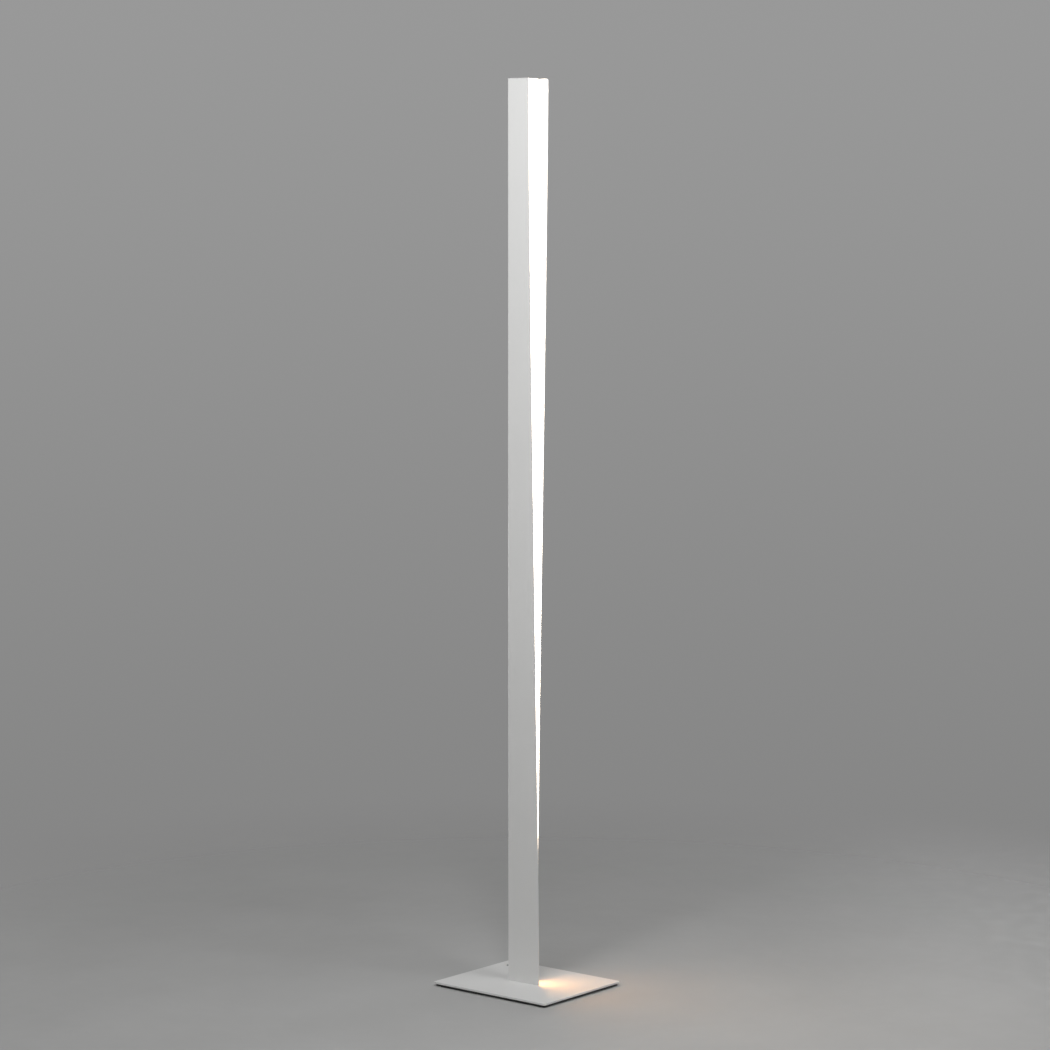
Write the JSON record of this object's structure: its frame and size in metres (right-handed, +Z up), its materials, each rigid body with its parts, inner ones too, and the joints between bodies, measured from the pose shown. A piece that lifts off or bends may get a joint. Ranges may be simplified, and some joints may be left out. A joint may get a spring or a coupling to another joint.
{
  "type": "led floor lamp",
  "caption": "Slim white LED floor lamp: a tall folded column with counter-tapered flanges, a lit opal strip between them, a flat rectangular base and a push button dimmer.",
  "frame": {"origin": "on the floor under the middle of the rectangular base", "axes": "+Z up the column, +X right along the front face and the long side of the base, +Y to the rear"},
  "size_m": [0.278, 0.233, 1.75],
  "materials": {
    "white_paint": "matte white powder coat",
    "white_screws": "white lacquered screw heads",
    "black_paint": "matte black paint",
    "black_rubber": "matte black rubber",
    "bare_aluminium": "mill finish aluminium",
    "opal_diffuser": "opal polycarbonate, lit",
    "white_plastic": "white nylon",
    "driver_case": "pale grey polycarbonate",
    "black_plastic": "fine grained black plastic",
    "grey_plastic": "fine grained grey plastic",
    "bush_plastic": "white acetal",
    "silicone": "translucent silicone",
    "green_board": "green solder mask",
    "white_board": "white solder mask",
    "led_phosphor": "yellow phosphor",
    "lead_insulation": "grey insulation",
    "fastener_steel": "zinc plated steel"
  },
  "bodies": {
    "lamp": {"ballast_plate": "black_paint", "ballast_screws": "fastener_steel", "base_plate": "white_paint", "board_cover": "black_plastic", "board_links": "white_plastic", "board_screws": "fastener_steel", "body_shell": "white_paint", "button_bush": "bush_plastic", "cable_grommet": "black_rubber", "cap_screws": "white_screws", "cover_screws": "fastener_steel", "diffuser": "opal_diffuser", "dimmer_board": "green_board", "dimmer_lead": "lead_insulation", "dimmer_switch": "black_plastic", "driver_lead": "lead_insulation", "driver_posts": "bare_aluminium", "driver_screws": "fastener_steel", "floor_pads": "black_rubber", "foot_block": "bare_aluminium", "foot_bolts": "fastener_steel", "led_board_1": "white_board", "led_board_2": "white_board", "led_board_3": "white_board", "led_board_4": "white_board", "led_driver": "driver_case", "led_lead": "lead_insulation", "led_rail": "bare_aluminium", "led_row_1": "led_phosphor", "led_row_2": "led_phosphor", "led_row_3": "led_phosphor", "led_row_4": "led_phosphor", "lock_screws": "white_screws", "rail_screws": "fastener_steel", "return_dome": "silicone", "shell_screws": "white_screws", "terminal_block": "white_plastic", "top_cap": "white_paint"},
    "button": {"dimmer_button": "grey_plastic"}
  },
  "joints": [
    {"name": "button_press", "type": "slide", "parent": "lamp", "child": "button", "axis": [0, 0, -1], "range_m": [0, 0.001], "stiffness_N_per_m": 400, "springref_m": -0.001, "deforming": ["return_dome"]}
  ]
}
